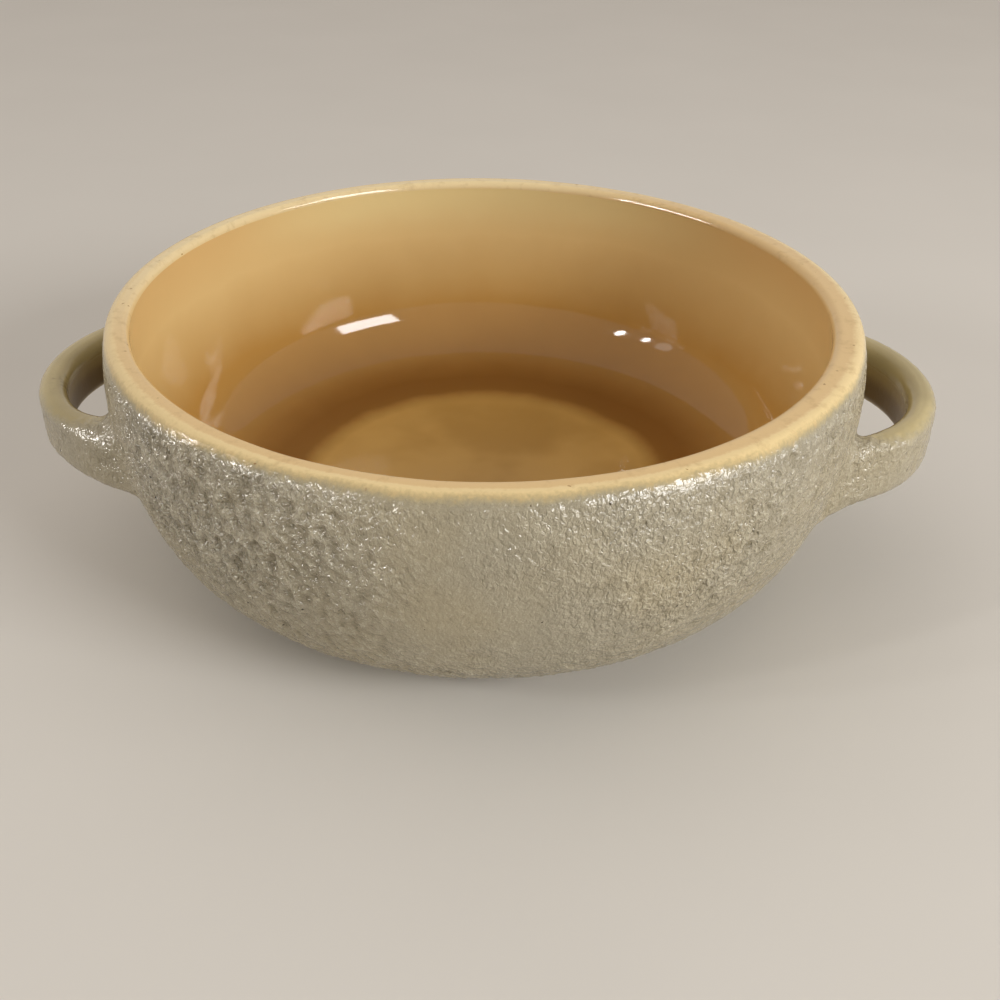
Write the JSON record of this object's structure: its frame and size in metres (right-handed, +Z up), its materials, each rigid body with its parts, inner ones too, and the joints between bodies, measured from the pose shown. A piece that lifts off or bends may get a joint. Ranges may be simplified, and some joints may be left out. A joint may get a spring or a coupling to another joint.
{
  "type": "lug soup bowl",
  "caption": "Round stoneware soup bowl with a honey glazed inside, a cream rim, a rough grey outside and a level strap handle at each side.",
  "frame": {"origin": "centre of the foot ring's resting plane", "axes": "+Z up, +X through the middle of the right handle, -Y towards the front"},
  "size_m": [0.174, 0.142, 0.0515],
  "materials": {
    "stoneware": "matt",
    "honey_glaze": "gloss",
    "cream_glaze": "satin",
    "rough_coat": "rough satin",
    "olive_glaze": "satin"
  },
  "bodies": {
    "root": {"bowl_body": "stoneware", "interior_glaze": "honey_glaze", "rim_glaze": "cream_glaze", "exterior_coat": "rough_coat", "left_handle": "stoneware", "left_handle_glaze": "olive_glaze", "left_handle_coat": "rough_coat", "left_front_root": "rough_coat", "left_back_root": "rough_coat", "right_handle": "stoneware", "right_handle_glaze": "olive_glaze", "right_handle_coat": "rough_coat", "right_front_root": "rough_coat", "right_back_root": "rough_coat"}
  },
  "joints": []
}
